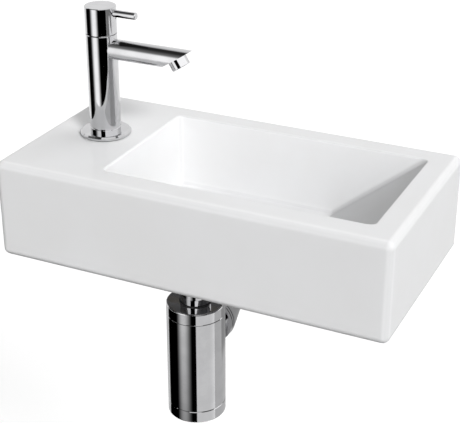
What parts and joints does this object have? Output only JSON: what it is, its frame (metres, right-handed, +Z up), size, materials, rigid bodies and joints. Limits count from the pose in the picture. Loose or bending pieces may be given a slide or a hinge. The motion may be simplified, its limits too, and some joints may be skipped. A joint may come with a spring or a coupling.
{
  "type": "hand basin with tap",
  "caption": "Wall-hung rectangular hand basin with a side tap deck, a bowl with a sloping end, a quarter-turn lever tap, a strainer waste and a bottle trap.",
  "frame": {"origin": "middle of the two wall-fixing holes, on the basin's back face, which is the wall plane", "axes": "+X right along the basin's width, +Y into the wall, +Z up; the front faces -Y"},
  "size_m": [0.4, 0.235, 0.4315],
  "materials": {
    "glaze": "gloss white glaze",
    "chrome": "polished",
    "brass": "machined",
    "steel": "turned",
    "rubber": "moulded",
    "valve_ceramic": "ground",
    "plastic": "moulded"
  },
  "bodies": {
    "basin_set": {"basin": "glaze", "strainer": "chrome", "waste_tail": "chrome", "coupling_nut": "chrome", "inlet_tube": "chrome", "trap_cap": "chrome", "trap_body": "chrome", "outlet_nut": "chrome", "outlet_pipe": "chrome", "tap_flange": "chrome", "tap_column": "chrome", "aerator_housing": "chrome", "tap_shank": "brass", "lock_nut": "brass", "headwork": "brass", "waste_screw": "steel", "clamp_plate": "steel", "strainer_seal": "rubber", "tail_seal": "rubber", "coupling_washer": "rubber", "tube_gland": "rubber", "outlet_seal": "rubber", "base_gasket": "rubber", "clamp_rubber": "rubber", "seat_seal": "rubber", "aerator_washer": "rubber", "fixed_disc": "valve_ceramic", "aerator_insert": "plastic"},
    "handle": {"handle_cap": "chrome", "lever_pin": "chrome", "grub_screw": "steel", "spindle": "brass", "spindle_seal": "rubber", "moving_disc": "valve_ceramic"},
    "cup_ring": {"cup_seal": "rubber"},
    "cup": {"cleaning_cup": "chrome"}
  },
  "joints": [
    {"name": "handle_turn", "type": "hinge", "parent": "basin_set", "child": "handle", "pos_m": [-0.1405, -0.096, 0.183], "axis": [0, 0, 1], "range_deg": [0, 90]},
    {"name": "cup_drop", "type": "slide", "parent": "basin_set", "child": "cup_ring", "axis": [0, 0, -1], "range_m": [0, 0.01]},
    {"name": "cup_unscrew", "type": "hinge", "parent": "cup_ring", "child": "cup", "pos_m": [-0.0395, -0.1, -0.227], "axis": [0, 0, -1], "range_deg": [0, 1800]}
  ],
  "couplings": [
    {"joint": "cup_drop", "follows": "cup_unscrew", "m_per_rad": 0.000318}
  ]
}
